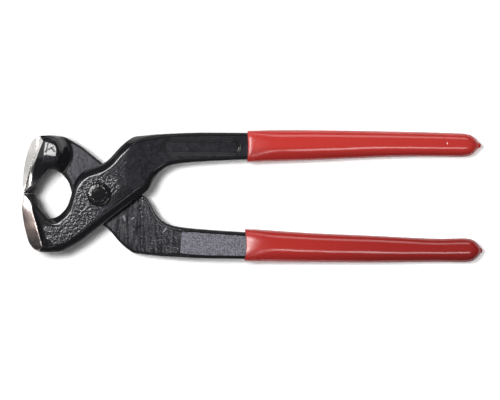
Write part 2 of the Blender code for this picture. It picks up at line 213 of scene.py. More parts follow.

# Levers: the CAD forging welded, refined and smoothed, with masks for its finishes, for painted reflection and
# for painted shade

forging = {
    "voxel": 0.36 * mm,
    "smoothSteps": 3,
    # all below in mm: x, and the distance into the jaw from the plane where the edges close
    "groundLine": ((-26.3, 25.0), (-32.6, 4.3)),
    "groundBow": 0.8,
    "tipEdge": ((-32.6, 4.3), (-0.764, 0.645)),
    # the ground front on the lapped side: its height at one place and its slopes along the edge and outwards
    "front": {"top": 5.3, "topAt": 9.4, "rise": 0.1, "fallFrom": 3, "fall": 0.55, "rear": -26},
    "window": [
        (-24.8, 24.4), (-21.2, 23.3), (-20.1, 21.9), (-20.5, 17.3), (-26.4, 16.2), (-26.1, 20.4),
    ],
    "windowMiddle": 20.5,
    "windowFall": 0.15,
    "windowTilt": 0.03,
    "noseStart": -26.2,
    "noseFall": 0.22,
    "scratches": [
        ((-25.9, 20.1), (-21.8, 22.3)), ((-24.4, 24.1), (-25.2, 19.6)), ((-22.9, 22.2), (-21.1, 20.0)),
    ],
    "eye": [
        (-31.9, 3.1), (-28.9, 7.5), (-25.2, 11.9), (-21.5, 12.4), (-18.5, 9.6), (-15.5, 3.6), (-14.3, -2.3),
    ],
    "innerBulge": 2.6,
    "bulgeHalf": 7.2,
    "bulgeWay": (0.67, 0.74),
    "ramp": {"start": 20.2, "length": 19.0, "top": -4.5},
    "blastStart": 39.0,
    "tipGap": 0.04,
    "panel": {"ends": (33.5, 63.3), "middle": 23.2, "radius": 3.5},
    "nicks": [
        ((11.2, 10.2), (12.0, 12.2)), ((15.2, 11.6), (16.2, 11.0)), ((30.5, 17.6), (32.0, 15.6)),
    ],
}


def leverPiece(node, name, side):
    # side is 1 for the lever that lies as drawn and -1 for the same forging turned over
    piece = bpy.data.objects.new(name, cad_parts[node].data.copy())
    bpy.context.scene.collection.objects.link(piece)
    piece.data.materials.clear()
    editing(piece)
    bpy.ops.mesh.select_all(action="SELECT")
    bpy.ops.mesh.remove_doubles(threshold=0.001 * mm)
    bpy.ops.mesh.customdata_custom_splitnormals_clear()
    doneEditing()
    remesh = {"mode": "VOXEL", "voxel_size": forging["voxel"], "adaptivity": 0.0}
    applyModifier(piece, "REMESH", **remesh)
    slopeFront(piece, side)
    applyModifier(piece, "REMESH", **remesh)
    applyModifier(piece, "SMOOTH", factor=0.5, iterations=forging["smoothSteps"])
    shapeLever(piece, side)
    only(piece)
    bpy.ops.object.shade_smooth()
    finishMasks(piece, side)
    return piece


def leverPlaces(mesh, side):
    points = readPoints(mesh)
    x = points[:, 0] / mm
    u = -side * points[:, 1] / mm  # into the jaw, and below 0 along the handle
    z = side * (points[:, 2] - midHeight) / mm  # below 0 on the lapped side
    return points, x, u, z


def setPlaces(mesh, side, points, x, u, z):
    points[:, 0] = x * mm
    points[:, 1] = -side * u * mm
    points[:, 2] = midHeight + side * z * mm
    mesh.vertices.foreach_set("co", points.astype(np.float32).ravel())
    mesh.update()


def outlineDistance(x, u, corners):
    # below 0 inside the outline
    points = np.stack((x, u), 1)
    nearest = np.full(len(x), 1e9)
    inside = np.zeros(len(x), bool)
    for start, end in zip(corners, corners[1:] + corners[:1]):
        nearest = np.minimum(nearest, segmentDistance(points, start, end))
        crossing = (start[1] > u) != (end[1] > u)
        inside ^= crossing & (x < start[0] + (end[0] - start[0]) * (u - start[1]) / (end[1] - start[1]))
    return np.where(inside, -nearest, nearest)


def segmentDistance(points, start, end):
    start = np.array(start)
    along = np.array(end) - start
    share = np.clip((points - start) @ along / (along @ along), 0, 1)
    return np.linalg.norm(points - start - share[:, None] * along, axis=1)


def readEdges(mesh):
    edges = np.zeros(len(mesh.edges) * 2, np.int32)
    mesh.edges.foreach_get("vertices", edges)
    return edges.reshape(-1, 2)


def neighbourMean(mesh, values):
    edges = readEdges(mesh)
    here, there = np.concatenate((edges, edges[:, ::-1])).T
    size = len(values)
    count = np.bincount(here, minlength=size)
    means = [np.bincount(here, column[there], size) / count for column in values.T]
    return np.stack(means, 1)


def groundLineX(u):
    (x0, u0), (x1, u1) = forging["groundLine"]
    return x0 + (x1 - x0) * (u - u0) / (u1 - u0)


def frontSlope(x, u):
    # on the lapped side the ground front slopes evenly outwards to the very edge
    front = forging["front"]
    fromLine = groundLineX(u) - x
    groundTop = front["top"] + front["rise"] * (u - front["topAt"])
    groundTop = groundTop - front["fall"] * (fromLine - front["fallFrom"])
    return groundTop, smoothStep(2.2, 3.2, fromLine) * smoothStep(1.5, 4, u) * (x < front["rear"])


def slopeFront(piece, side):
    mesh = piece.data
    points, x, u, z = leverPlaces(mesh, side)
    groundTop, sloped = frontSlope(x, u)
    z = z + sloped * (np.maximum(z, -groundTop) - z)
    setPlaces(mesh, side, points, x, u, z)


def softStart(distance):
    return np.sqrt(distance ** 2 + 0.03) - 0.173  # a slope that begins with a small round


def shapeLever(piece, side):
    # the lapped side of the jaw keeps one flat and falls away round it, and the edges close on each other
    mesh = piece.data
    points, x, u, z = leverPlaces(mesh, side)
    cheek = smoothStep(6.0, 8.0, -z) * (x < -15)
    out = np.maximum(outlineDistance(x, u, forging["window"]), 0)
    ahead = np.maximum(forging["noseStart"] - x, 0)
    fall = forging["windowFall"] * softStart(out) + forging["noseFall"] * softStart(ahead)
    tilt = forging["windowTilt"] * np.clip(u - forging["windowMiddle"], -5, 5)
    z = z + cheek * (fall + tilt)
    groundTop, sloped = frontSlope(x, u)  # drawn true again after the remesh
    z = z - sloped * smoothStep(0.5, 0.3, np.abs(z + groundTop)) * (z + groundTop)
    spare = u[x < -33].min() - forging["tipGap"]
    u = u - spare * smoothStep(-29.5, -31.5, x) * smoothStep(2.5, 0.5, u)
    # inside, behind the edges, the jaw is thicker half way through
    normals = readPoints(mesh, "normal")
    wayX, wayU = forging["bulgeWay"]
    facing = smoothStep(0.3, 0.7, wayX * normals[:, 0] + wayU * side * normals[:, 1]) * (x < -20)
    rounding = np.maximum(0, 1 - (z / forging["bulgeHalf"]) ** 2)
    bulge = forging["innerBulge"] * facing * smoothStep(-27, -33, x) * rounding
    x = x + wayX * bulge
    u = np.where(bulge > 0, np.maximum(u - wayU * bulge, forging["tipGap"]), u)
    # the panel in the bar's outer face ends in half circles; its points are spread, then set to height
    panel = forging["panel"]
    for end, way in zip(panel["ends"], (-1, 1)):
        reach = np.hypot(way * (x - end), u + panel["middle"])
        here = (way * (x - end) > 0) & (reach < 5.4) & (z > 3.2) & (side > 0)
        if not here.any():
            continue
        rim = np.median(z[here & (reach > 4.4)])
        bed = np.median(z[here & (reach < 2.2)])
        spread = here & (reach < 4.6)
        for step in range(20):
            x, u = np.where(spread, neighbourMean(mesh, np.stack((x, u), 1)).T, (x, u))
        past = np.maximum(way * (x - end), 0)
        reach = np.hypot(past, u + panel["middle"])
        height = rim + (bed - rim) * smoothStep(panel["radius"] + 0.3, panel["radius"] - 0.5, reach)
        z = z + here * smoothStep(5.0, 4.2, reach) * smoothStep(0, 0.8, past) * (height - z)
    # the ramp on the lapped side, from the joint up to the bar, drawn true
    ramp = forging["ramp"]
    onRamp = (x > 17) & (x < 43) & (side * normals[:, 2] < -0.93) & (z > -4.8)
    foot = z[onRamp & (x < 18.5)].mean()
    climb = np.clip((x[onRamp] - ramp["start"]) / ramp["length"], 0, 1)
    z[onRamp] = foot + (ramp["top"] - foot) * climb
    setPlaces(mesh, side, points, x, u, z)


def lineMarks(places, lines, halfWidth):
    marks = [1 - smoothStep(0.05, halfWidth, segmentDistance(places, *ends)) for ends in lines]
    return np.max(marks, axis=0)


def finishMasks(piece, side):
    mesh = piece.data
    points, x, u, z = leverPlaces(mesh, side)
    normals = readPoints(mesh, "normal")
    normalZ = side * normals[:, 2]
    level = smoothStep(0.88, 0.955, np.abs(normalZ))
    lapSide = normalZ < 0
    # ground front of the jaw, as a distance so that its line stays sharp between the points
    (x0, u0), (x1, u1) = forging["groundLine"]
    share = np.clip((u - u0) / (u1 - u0), 0, 1)
    lineX = groundLineX(u) - forging["groundBow"] * 4 * share * (1 - share) * (z < 0)
    lineX = np.where(u > u0, x0 - 0.7 * (u - u0), lineX)
    (edgeX, edgeU), (slopeX, slopeU) = forging["tipEdge"]
    fromTip = (x - edgeX) * slopeX + (u - edgeU) * slopeU
    ground = np.minimum(lineX + np.where(z < 0, -0.4, -0.3) - x, fromTip)
    blasted = x - forging["blastStart"] - 0.06 * (u + 24)
    blasted = np.where(lapSide, blasted, -2)
    window = -outlineDistance(x, u, forging["window"])
    window = np.where(lapSide & (z < -6), window, -2)
    # convex edges, from how far each point stands proud of its neighbours
    proud = ((points - neighbourMean(mesh, points)) * normals).sum(1) / forging["voxel"]
    edge = smoothStep(0.02, 0.16, proud)
    # black rounding along every edge, a millimetre wider than the bend itself
    first, second = readEdges(mesh).T
    flat = level.copy()
    for step in range(3):
        around = flat.copy()
        np.minimum.at(around, first, flat[second])
        np.minimum.at(around, second, flat[first])
        flat = around
    places = np.stack((x, u), 1)
    eyeSides = zip(forging["eye"], forging["eye"][1:])
    fromEye = np.min([segmentDistance(places, *ends) for ends in eyeSides], axis=0)
    bareCheek = smoothStep(2.2, 3.0, x - lineX) * smoothStep(2.8, 3.4, fromEye)
    flat = flat * np.where((x < -12) & (u > 0), bareCheek, 1)
    # lumps stand highest on the outer arm and round the rivet, and are low on neck, bar and lap
    byRivet = 1 - smoothStep(1.5, 6.0, np.hypot(x - 5.5, u + 4.0))
    arm = smoothStep(6.0, -7.0, x)
    onRamp = smoothStep(18, 22, x)
    outerLumps = 0.26 + 0.74 * np.maximum(arm, 0.8 * byRivet)
    lumps = flat * np.where(lapSide, 0.35 + 0.3 * onRamp, outerLumps)
    lumps = lumps * (1 - 0.75 * smoothStep(-0.6, 0.0, window))
    inside = smoothStep(3.4, 2.4, fromEye) * smoothStep(0.8, 0.5, np.abs(normalZ))
    panel = forging["panel"]
    walls = (x > 29) & (x < panel["ends"][1] + 0.8) & (np.abs(u + panel["middle"]) < 4.0) & (z > 3.4)
    inside = np.maximum(inside, walls * smoothStep(0.997, 0.985, normalZ))
    lap = lapSide * flat * smoothStep(9.5, 7.0, np.abs(z) * 2) * (1 - 0.8 * smoothStep(2.0, 8.0, x))
    fromCrease = np.abs(x - forging["ramp"]["start"])
    lap = lap * (1 - smoothStep(1.6, 0.5, fromCrease))  # the crease where the ramp begins stays black
    # painted shade: a darker patch right of the rivet, on the upper side only
    shade = 1 - smoothStep(2.5, 8.0, np.hypot(x - 12.0, u - 2.0))
    nick = lineMarks(np.stack((x, -u), 1), forging["nicks"], 0.45)
    scratch = lineMarks(places, forging["scratches"], 0.32)
    # painted reflection: the front lever's ground front is browner in a band on its upper side only, with tan
    # inside that band, and the back lever's is greyer in a band
    brownReflection = smoothStep(4.0, 9.0, u) * (1 - 0.45 * smoothStep(16, 24, u))
    brownReflection = brownReflection * smoothStep(0.05, 0.45, normalZ) * (side > 0)
    tanReflection = smoothStep(12, 16, u) * smoothStep(23, 19, u)
    greyReflection = smoothStep(7.5, 11, u) * (1 - 0.6 * smoothStep(17, 22, u)) * (side < 0)
    writeMask(mesh, "finish", 0.5 + ground / 4, 0.5 + blasted / 4, 0.5 + window / 4)
    writeMask(mesh, "surface", flat, lumps, lap)
    writeMask(mesh, "wearAndSparkle", edge, byRivet * (normalZ > 0.9), nick * lapSide * level)
    # the tone mask carries painted reflection, painted shade and the window's scratches
    writeMask(mesh, "tone", brownReflection, shade * (normalZ > 0), scratch)
    writeMask(mesh, "dullAndReflection", inside, tanReflection, greyReflection)


def maskParts(tree, x, y, name):
    source = addNode(tree, "Attribute", x, y, {"attribute_name": name})
    parts = addNode(tree, "SeparateColor", x + 200, y)
    tree.links.new(source.outputs["Color"], parts.inputs[0])
    return parts.outputs[:3]


def stretchedNoise(tree, x, y, place, stretch, detail, turn=0.0):
    mapping = addNode(tree, "Mapping", x, y, Rotation=(0, 0, turn), Scale=stretch)
    tree.links.new(place, mapping.inputs["Vector"])
    return noiseOutput(tree, x + 200, y, mapping.outputs[0], 1.0, detail)


def paintMaterial():
    material, tree, shader = newMaterial("blackPaint")
    look = {
        "paint": (0.011, 0.011, 0.0125, 1),
        "flat": (0.027, 0.0265, 0.032, 1),
        "lap": (0.070, 0.068, 0.083, 1),
        "blasted": (0.225, 0.222, 0.26, 1),
        "blastedDark": (0.09, 0.088, 0.104, 1),
        "steel": (0.62, 0.59, 0.57, 1),
        "steelPale": (0.80, 0.78, 0.77, 1),
        # painted reflection colours of the ground fronts
        "reflectedBrown": (0.31, 0.25, 0.235, 1),
        "reflectedTan": (0.66, 0.52, 0.47, 1),
        "reflectedGrey": (0.52, 0.51, 0.49, 1),
        "fleck": (0.30, 0.30, 0.33, 1),
    }
    place = addNode(tree, "TexCoord", -2200, 0).outputs["Object"]
    groundPlace, blastedPlace, windowPlace = maskParts(tree, -2200, -300, "finish")
    flat, lumps, lap = maskParts(tree, -2200, -600, "surface")
    edge, byRivet, nick = maskParts(tree, -2200, -900, "wearAndSparkle")
    brownReflection, shade, scratch = maskParts(tree, -2200, -1200, "tone")
    inside, tanReflection, greyReflection = maskParts(tree, -2200, -1500, "dullAndReflection")
    ground = rampNode(tree, -1900, -200, groundPlace, 0.475, 0.525)
    blastedHere = rampNode(tree, -1900, -350, blastedPlace, 0.47, 0.53)
    onFlat = rampNode(tree, -1900, -500, flat, 0.3, 0.6)
    blasted = mathNode(tree, "MULTIPLY", -1700, -350, blastedHere, onFlat)
    window = rampNode(tree, -1900, -650, windowPlace, 0.46, 0.54)
    grain = useGroup(tree, forgedGrain, -1700, 300, **{"Scale": 740.0, "Fleck Level": 0.60})
    tree.links.new(place, grain.inputs["Vector"])
    rubbed = useGroup(tree, rubbedThrough, -1500, -700, **{"Scale": 1500.0, "Amount": 0.12})
    tree.links.new(place, rubbed.inputs["Vector"])
    tree.links.new(edge, rubbed.inputs["Edge"])
    speckle = noiseOutput(tree, -1700, 600, place, 1500.0, 1.0, 0.6)
    blotch = noiseOutput(tree, -1700, 750, place, 420.0, 3.0, 0.65)
    brushed = stretchedNoise(tree, -1900, 950, place, (900, 110, 300), 2.0, 0.12)
    # colour
    # the flat faces are painted darker in a patch right of the rivet: painted shade
    unshaded = mathNode(tree, "SUBTRACT", -1700, 480, 1.0, shade)
    darkFlat = mathNode(tree, "MULTIPLY", -1500, 500, flat, unshaded)
    patches = mixValue(tree, -1550, 620, rampNode(tree, -1700, 680, blotch, 0.38, 0.62), 0.4, 1.25)
    patchy = mathNode(tree, "MULTIPLY", -1400, 400, darkFlat, patches)
    streak = rampNode(tree, -1700, 900, brushed, 0.36, 0.64)
    onRamp = rampNode(tree, -1600, 760, lap, 0.02, 0.12)
    brushedHere = mixValue(tree, -1450, 520, onRamp, 1.0, mixValue(tree, -1600, 900, streak, 0.5, 1.6))
    flatShare = mathNode(tree, "MULTIPLY", -1350, 420, patchy, brushedHere)
    flatTone = mixColour(tree, -1300, 300, flatShare, look["paint"], look["flat"])
    softBlotch = rampNode(tree, -1500, 750, blotch, 0.3, 0.7)
    softBrush = rampNode(tree, -1500, 950, brushed, 0.3, 0.7)
    uneven = mixValue(tree, -1400, 800, 0.35, softBlotch, softBrush)
    onLap = rampNode(tree, -1450, 850, lap, 0.3, 0.8)
    pebbles = rampNode(tree, -1500, 1250, grain.outputs["Height"], 0.25, 0.65)
    pebbled = mixValue(tree, -1300, 850, onLap, uneven, pebbles)
    lapTone = mixColour(tree, -1200, 700, pebbled, look["paint"], look["lap"])
    lapped = mixColour(tree, -1050, 300, lap, flatTone, lapTone)
    speckles = rampNode(tree, -1500, 1100, speckle, 0.38, 0.62)
    blastTone = mixColour(tree, -1200, 900, speckles, look["blastedDark"], look["blasted"])
    matt = mixColour(tree, -900, 300, blasted, lapped, blastTone)
    # painted sparkle: bright flecks on the lumps' crowns, strongest round the rivet and faint on all flat
    # faces
    flatFleck = mathNode(tree, "MULTIPLY", -1400, 80, flat, 0.22)
    speckled = mathNode(tree, "MAXIMUM", -1250, 80, byRivet, flatFleck)
    rivetFleck = mathNode(tree, "MULTIPLY", -1100, 80, grain.outputs["Fleck"], speckled)
    fleckShare = mathNode(tree, "MULTIPLY", -900, 80, rivetFleck, 0.5)
    flecked = mixColour(tree, -700, 300, fleckShare, matt, look["fleck"])
    nicked = mixColour(tree, -600, 500, nick, flecked, look["fleck"])
    worn = mixColour(tree, -500, 300, rubbed.outputs["Mask"], nicked, look["fleck"])
    steelTone = stretchedNoise(tree, -900, 900, place, (160, 60, 300), 3.0)
    palePatch = rampNode(tree, -700, 900, steelTone, 0.35, 0.65)
    pale = mixColour(tree, -500, 700, palePatch, look["steel"], look["steelPale"])
    # the ground steel is painted brown, tan and grey in bands: painted reflection
    brownReflectionTone = mixColour(tree, -500, 850, tanReflection, look["reflectedBrown"], look["reflectedTan"])
    greyReflected = mixColour(tree, -400, 600, greyReflection, pale, look["reflectedGrey"])
    steel = mixColour(tree, -350, 700, brownReflection, greyReflected, brownReflectionTone)
    tree.links.new(mixColour(tree, -200, 300, ground, worn, steel), shader.inputs["Base Color"])
    tree.links.new(ground, shader.inputs["Metallic"])
    # roughness
    streakSwing = mixValue(tree, -1400, 0, streak, -0.09, 0.09)
    streakRough = mathNode(tree, "MULTIPLY", -1250, 0, onRamp, streakSwing)
    lapRough = mathNode(tree, "ADD", -1050, -60, mixValue(tree, -1200, -100, lap, 0.12, 0.52), streakRough)
    handled = mathNode(tree, "MULTIPLY", -1200, -250, rampNode(tree, -1350, -250, edge, 0.0, 0.35), 0.7)
    dulled = mathNode(tree, "MAXIMUM", -1100, -250, inside, handled)
    insideRough = mixValue(tree, -1000, -200, dulled, lapRough, 0.6)
    blastRough = mixValue(tree, -900, -100, blasted, insideRough, 0.65)
    windowRough = mixValue(tree, -900, -900, scratch, 0.08, 0.6)
    paintRough = mixValue(tree, -700, -100, window, blastRough, windowRough)
    tree.links.new(mixValue(tree, -200, -100, ground, paintRough, 0.26), shader.inputs["Roughness"])
    # lumps under the paint and a fine grain on the matt faces, both about 0 so that a mask makes no step
    fineShare = mathNode(tree, "MULTIPLY", -900, -500, blasted, 0.35)
    fineSwing = mathNode(tree, "SUBTRACT", -900, -650, speckle, 0.5)
    fineHeight = mathNode(tree, "MULTIPLY", -700, -600, fineSwing, fineShare)
    lumpSwing = mathNode(tree, "SUBTRACT", -900, -420, grain.outputs["Height"], 0.5)
    lumpHeight = mathNode(tree, "MULTIPLY", -700, -450, lumpSwing, lumps)
    bumpHeight = mathNode(tree, "ADD", -500, -500, lumpHeight, fineHeight)
    bump = addNode(tree, "Bump", -200, -500, Strength=1.0, Distance=0.23 * mm)
    tree.links.new(bumpHeight, bump.inputs["Height"])
    tree.links.new(bump.outputs["Normal"], shader.inputs["Normal"])
    shader.inputs["Specular IOR Level"].default_value = 0.3
    return material


blackPaint = paintMaterial()
frontLever = leverPiece("front_lever", "frontLeverPainted", 1)
backLever = leverPiece("back_lever", "backLeverPainted", -1)
for piece, node, body in ((frontLever, "front_lever", "front_half"), (backLever, "back_lever", "back_half")):
    piece.data.materials.append(blackPaint)
    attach(piece, body)
    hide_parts(node)
print("levers:", [len(piece.data.polygons) for piece in (frontLever, backLever)], "faces each")

# Rivet: one turned body, shank and both heads, drawn out of a cylinder

rivet = {
    "shank": 4.0 * mm,
    "head": 5.7 * mm,
    "seat": 7.3 * mm,  # underside of a head, from the lap plane
    "rim": 0.75 * mm,
    # radius and height of the dome, mm
    "crown": [
        (5.6, 8.45), (5.45, 8.62), (5.2, 8.72), (4.7, 8.79), (4.2, 8.85),
        (3.7, 8.91), (3.2, 8.96), (2.6, 8.99), (1.8, 9.0),
    ],
    "topInset": 1.2 * mm,
}


def rivetPiece():
    bpy.ops.object.select_all(action="DESELECT")
    bpy.ops.mesh.primitive_cylinder_add(
        vertices=96, radius=rivet["shank"], depth=2 * rivet["seat"], location=(0, 0, midHeight)
    )
    piece = bpy.context.active_object
    piece.name = "pivotRivet"
    only(piece)
    bpy.ops.object.transform_apply(location=True, rotation=True, scale=True)
    editing(piece)
    bpy.ops.mesh.select_mode(type="FACE")
    for up in (1, -1):
        bpy.ops.mesh.select_all(action="DESELECT")
        form = bmesh.from_edit_mesh(piece.data)
        for face in form.faces:
            above = (face.calc_center_median().z - midHeight) * up > 0
            face.select_set(face.normal.z * up > 0.9 and above)
        bmesh.update_edit_mesh(piece.data)
        radius, height = rivet["shank"], rivet["seat"]
        head = rivet["head"] / mm
        profile = [(head, rivet["seat"] / mm), (head, (rivet["seat"] + rivet["rim"]) / mm)]
        for nextRadius, nextHeight in profile + rivet["crown"]:
            rise = (0, 0, up * (nextHeight * mm - height))
            bpy.ops.mesh.extrude_region_move(TRANSFORM_OT_translate={"value": rise})
            grow = nextRadius * mm / radius
            bpy.ops.transform.resize(value=(grow, grow, 1), center_override=(0, 0, midHeight))
            radius, height = nextRadius * mm, nextHeight * mm
        bpy.ops.mesh.inset(thickness=rivet["topInset"])
    bpy.ops.mesh.select_all(action="SELECT")
    bpy.ops.mesh.normals_make_consistent(inside=False)
    doneEditing()
    sharp = math.radians(40)
    applyModifier(piece, "BEVEL", width=0.15 * mm, segments=3, limit_method="ANGLE", angle_limit=sharp)
    only(piece)
    bpy.ops.object.shade_smooth_by_angle(angle=sharp)
    return piece


def rivetMaterial():
    material, tree, shader = newMaterial("bluedSteel")
    look = {"dark": (0.007, 0.007, 0.008, 1), "pale": (0.011, 0.011, 0.012, 1)}
    place = addNode(tree, "TexCoord", -1200, 0).outputs["Object"]
    grain = useGroup(tree, forgedGrain, -1000, 100, **{"Scale": 700.0, "Fleck Level": 0.64})
    tree.links.new(place, grain.inputs["Vector"])
    tone = mixColour(tree, -300, 200, grain.outputs["Mottle"], look["dark"], look["pale"])
    tree.links.new(tone, shader.inputs["Base Color"])
    tree.links.new(mixValue(tree, -300, 0, grain.outputs["Height"], 0.05, 0.12), shader.inputs["Roughness"])
    # smooth on top, hammered towards the rim
    across = addNode(tree, "VectorMath", -1000, -300, {"operation": "MULTIPLY"})
    across.inputs[1].default_value = (1, 1, 0)
    tree.links.new(place, across.inputs[0])
    radius = addNode(tree, "VectorMath", -800, -300, {"operation": "LENGTH"})
    tree.links.new(across.outputs["Vector"], radius.inputs[0])
    rim = rampNode(tree, -600, -300, radius.outputs["Value"], 2.6 * mm, 4.2 * mm)
    hammered = mixValue(tree, -450, -400, rim, 0.05, 1.0)
    height = mathNode(tree, "MULTIPLY", -450, -200, grain.outputs["Height"], hammered)
    bump = addNode(tree, "Bump", -300, -300, Strength=0.6, Distance=0.34 * mm)
    tree.links.new(height, bump.inputs["Height"])
    tree.links.new(bump.outputs["Normal"], shader.inputs["Normal"])
    shader.inputs["Specular IOR Level"].default_value = 0.3
    return material


pivotRivet = rivetPiece()
pivotRivet.data.materials.clear()
pivotRivet.data.materials.append(rivetMaterial())
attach(pivotRivet, "front_half")
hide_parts("pivot_rivet")
print("rivet:", len(pivotRivet.data.polygons), "faces")

# Grips: a dipped sleeve, drawn ring by ring from the drip at its end to the lip and back down the bore

sleeve = {
    "start": 69.7,
    "length": 108.0,
    "centre": 23.75,
    "bow": 1.65,
    "thickEnd": 4.45,
    "wall": 0.8,
    "boreLip": 4.6,
    "ringPoints": 48,
    # closed end: distance before the drip's tip, and share of the full section
    "nose": [(0.0, 0.05), (0.3, 0.15), (0.8, 0.2), (1.5, 0.25), (1.95, 0.3), (2.5, 0.4), (3.4, 0.575),
             (4.3, 0.72), (5.3, 0.845), (6.5, 0.915), (8.0, 0.97), (10.5, 1.0)],
    "squareLip": 3.0,
    "squareStart": 2.35,
    "squareEnd": 2.1,
}
gripKinds = [
    {
        "name": "frontGripDipped", "node": "front_grip", "body": "front_half", "side": 1,
        "tip": 182.1, "thick": 5.6, "blunt": 0.55, "crown": 0.0,
        "lip": 70.15, "lipBow": 0.4, "lipFall": ((0.34, 1.9),),
        # x, half width away from the other handle, half width towards it
        "widths": [
            (70, 7.5, 7.7), (82, 7.57, 7.5), (96, 7.4, 7.55), (106, 7.35, 7.22), (115, 7.08, 6.76),
            (125, 6.72, 6.42), (144, 6.43, 6.05), (154, 6.3, 5.72), (163, 5.87, 5.72), (172.5, 5.75, 5.85),
        ],
    },
    {
        "name": "backGripDipped", "node": "back_grip", "body": "back_half", "side": -1,
        "tip": 183.3, "thick": 5.75, "blunt": 1.0, "crown": 0.4,
        "lip": 69.3, "lipBow": 1.0, "lipFall": ((0.3, 7.0), (0.3, 22.0)),
        "widths": [(70, 7.5, 8.0), (77, 7.35, 8.08), (82, 7.4, 7.92), (87, 7.25, 7.5), (96, 7.12, 7.18),
                   (106, 6.75, 7.2), (115, 6.6, 7.2), (125, 6.6, 6.85), (134, 6.25, 6.65), (144, 5.85, 6.35),
                   (154, 5.65, 6.1), (163, 5.5, 5.98), (168, 5.4, 6.15), (172.5, 5.5, 6.4)],
    },
]


def sleeveSize(kind, x):
    share = (x - sleeve["start"]) / sleeve["length"]
    centre = sleeve["centre"] + sleeve["bow"] * (1 - (1 - min(share, 1.0)) ** 2)
    places = np.array(kind["widths"])
    here = min(x, places[-1, 0])
    outer, inner = (np.polyval(np.polyfit(places[:, 0] - 120, places[:, n], 5), here - 120) for n in (1, 2))
    thick = kind["thick"] + (sleeve["thickEnd"] - kind["thick"]) * share
    return centre + (outer - inner) / 2, (outer + inner) / 2, thick


def lipFall(kind, x):
    return sum(depth * max(0.0, 1 - (x - kind["lip"]) / run) ** 2 for depth, run in kind["lipFall"])


def sleeveRings(kind):
    # each ring is x, centre y, half width, half thickness, in mm
    rings = []
    lip = kind["lip"]
    bodyEnd = kind["tip"] - sleeve["nose"][-1][0]
    centre, wide, thick = sleeveSize(kind, bodyEnd)
    for back, share in sleeve["nose"]:
        back -= kind["blunt"] * min(1.0, back / 2.5)
        rings.append((kind["tip"] - back, centre, wide * share, thick * share))
    along = [bodyEnd + (lip + 14 - bodyEnd) * n / 16 for n in range(1, 17)]
    along += [lip + 10.5, lip + 7.5, lip + 5.0, lip + 3.2, lip + 2.0, lip + 1.2, lip + 0.6, lip + 0.25]
    for x in along:
        centre, wide, thick = sleeveSize(kind, x)
        rings.append((x, centre, wide, thick - lipFall(kind, x)))
    # rounded lip, then the bore
    centre, wide, thick = sleeveSize(kind, lip)
    thick -= lipFall(kind, lip)
    bore = sleeve["boreLip"]
    for forward, inwards in ((0.06, 0.06), (0.0, 0.22), (0.0, 0.55), (0.12, 0.92), (0.6, 1.0)):
        lipThick = thick - (thick - bore) * inwards
        rings.append((lip + forward, centre, wide - sleeve["wall"] * inwards, lipThick))
    for n in range(1, 8):
        x = lip + (bodyEnd - lip) * n / 7
        centre, wide, thick = sleeveSize(kind, x)
        rings.append((x, centre, wide - sleeve["wall"], max(min(bore, thick - 0.7), thick - sleeve["wall"])))
    centre, wide, thick = sleeveSize(kind, bodyEnd)
    rings.append((bodyEnd + 2.4, centre, (wide - sleeve["wall"]) * 0.7, (thick - sleeve["wall"]) * 0.7))
    return rings


def gripPiece(kind):
    rings = sleeveRings(kind)
    x, centre, wide, thick = rings[0]
    bpy.ops.object.select_all(action="DESELECT")
    bpy.ops.mesh.primitive_circle_add(
        vertices=sleeve["ringPoints"], radius=1, fill_type="NGON",
        location=(0, 0, 0), rotation=(0, math.pi / 2, 0),
    )
    piece = bpy.context.active_object
    piece.name = kind["name"]
    only(piece)
    bpy.ops.object.transform_apply(location=True, rotation=True, scale=True)
    editing(piece)
    bpy.ops.mesh.select_all(action="SELECT")
    side = kind["side"]
    bpy.ops.transform.resize(value=(1, wide * mm, thick * mm), center_override=(0, 0, 0))
    bpy.ops.transform.translate(value=(x * mm, side * centre * mm, midHeight))
    for nextX, nextCentre, nextWide, nextThick in rings[1:]:
        step = ((nextX - x) * mm, side * (nextCentre - centre) * mm, 0)
        bpy.ops.mesh.extrude_region_move(TRANSFORM_OT_translate={"value": step})
        bpy.ops.transform.resize(
            value=(1, nextWide / wide, nextThick / thick),
            center_override=(nextX * mm, side * nextCentre * mm, midHeight),
        )
        x, centre, wide, thick = nextX, nextCentre, nextWide, nextThick
    bpy.ops.mesh.select_all(action="SELECT")
    bpy.ops.mesh.remove_doubles(threshold=0.001 * mm)
    bpy.ops.mesh.normals_make_consistent(inside=False)
    doneEditing()
    squareUp(piece, kind)
    applyModifier(piece, "SUBSURF", levels=2, render_levels=2)
    only(piece)
    bpy.ops.object.shade_smooth()
    return piece


def squareUp(piece, kind):
    # pulls the round section towards flats on all four sides, less so towards the end, and bows the lip
    side = kind["side"]
    for vert in piece.data.vertices:
        x = vert.co.x / mm
        centre, wide, thick = sleeveSize(kind, x)
        share = min(1.0, max(0.0, (x - sleeve["start"]) / sleeve["length"]))
        power = sleeve["squareStart"] + (sleeve["squareEnd"] - sleeve["squareStart"]) * share
        power += sleeve["squareLip"] * max(0.0, 1 - share * 7.0) ** 2
        across = vert.co.y - side * centre * mm
        up = vert.co.z - midHeight
        size = math.hypot(across / wide, up / thick)
        if size < 1e-9:
            continue
        cosine, sine = across / wide / size, up / thick / size
        radius = (abs(cosine) ** power + abs(sine) ** power) ** (-1 / power)
        vert.co.y = side * centre * mm + across * radius
        vert.co.z = midHeight + up * radius
        arch = max(0.0, 1 - (across * radius / (wide * mm)) ** 2)
        crown = kind["crown"] * max(0.0, 1 - (x - kind["lip"]) / 30) * arch
        vert.co.z += crown * max(-1.0, min(1.0, (vert.co.z - midHeight) / (4 * mm))) * mm
        bow = kind["lipBow"] * max(0.0, 1 - (x - kind["lip"]) / 6) ** 2
        vert.co.x += bow * arch * mm


